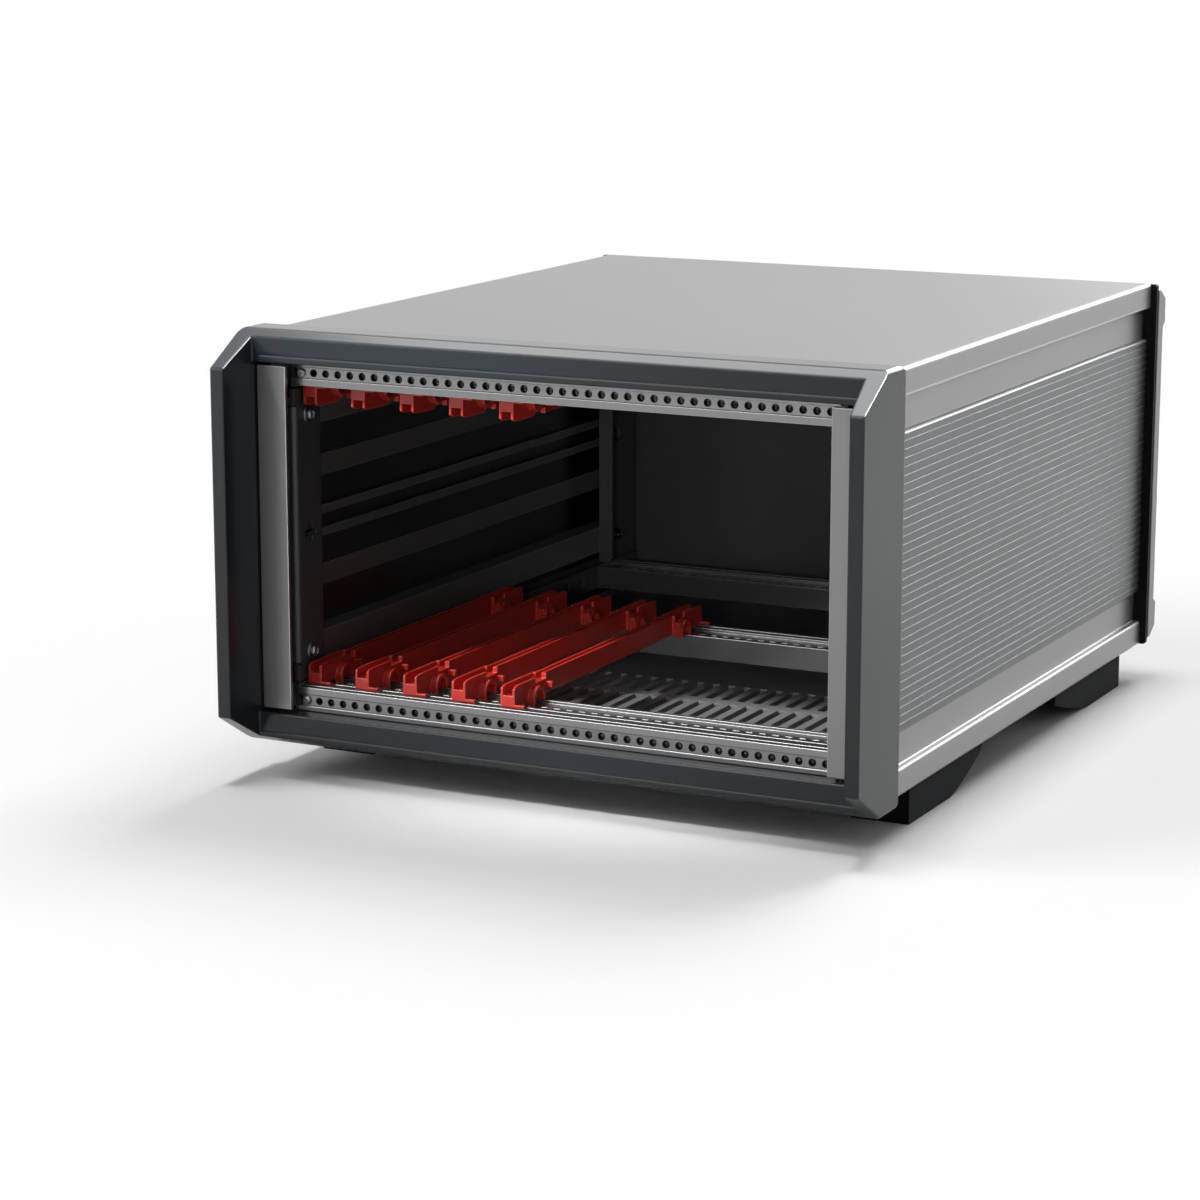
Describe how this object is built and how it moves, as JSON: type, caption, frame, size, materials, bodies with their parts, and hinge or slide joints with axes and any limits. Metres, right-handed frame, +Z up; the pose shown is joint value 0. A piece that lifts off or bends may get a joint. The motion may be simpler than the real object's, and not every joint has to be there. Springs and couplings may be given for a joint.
{
  "type": "rack mount case",
  "caption": "Desktop rack mount case with a card cage: cast front frame with raised uprights, ribbed side panels, tapped rails and red card guides.",
  "frame": {"origin": "middle of the case on the surface that the feet stand on", "axes": "+X to the right seen from the front, +Y from the front to the rear, +Z up"},
  "size_m": [0.2536, 0.3252, 0.1675],
  "materials": {
    "cast_frame": "dark anthracite paint on a casting, satin gloss",
    "trim": "clear anodised, satin",
    "rail": "extruded, clear anodised",
    "tapped_strip": "bright zinc",
    "fastener": "bright zinc",
    "black_steel": "black, satin",
    "card_guide": "red, slightly translucent moulding",
    "side_panel": "extruded, fine satin finish",
    "cover": "plain sheet, fine satin finish",
    "spacer": "black",
    "rear_frame": "fine silver-grey metallic paint, satin",
    "foot": "black, fine grain"
  },
  "bodies": {
    "root": {"front_frame": "cast_frame", "front_trim_left": "trim", "front_trim_right": "trim", "front_insert_top": "tapped_strip", "front_insert_bottom": "tapped_strip", "top_cover": "cover", "bottom_cover": "cover", "rear_panel": "cover", "side_panel_left": "side_panel", "side_panel_right": "side_panel", "rear_spacer": "spacer", "rear_frame": "rear_frame", "front_rail_top": "rail", "front_rail_bottom": "rail", "middle_rail_top": "rail", "middle_rail_bottom": "rail", "rear_rail_top": "rail", "rear_rail_bottom": "rail", "front_bracket_left": "black_steel", "foot_front_left": "foot", "front_bracket_right": "black_steel", "foot_front_right": "foot", "rear_bracket_left": "black_steel", "foot_rear_left": "foot", "rear_bracket_right": "black_steel", "foot_rear_right": "foot", "rail_strip_top_left": "black_steel", "rail_strip_top_right": "black_steel", "rail_strip_bottom_left": "black_steel", "rail_strip_bottom_right": "black_steel", "insert_screws": "fastener", "bracket_screws": "fastener", "bracket_washers": "fastener", "rail_screws": "fastener", "rear_frame_screws": "fastener", "foot_screws": "fastener", "guide_lower_1": "card_guide", "guide_lower_2": "card_guide", "guide_lower_3": "card_guide", "guide_lower_4": "card_guide", "guide_lower_5": "card_guide", "guide_upper_1": "card_guide", "guide_upper_2": "card_guide", "guide_upper_3": "card_guide", "guide_upper_4": "card_guide", "guide_upper_5": "card_guide"}
  },
  "joints": []
}
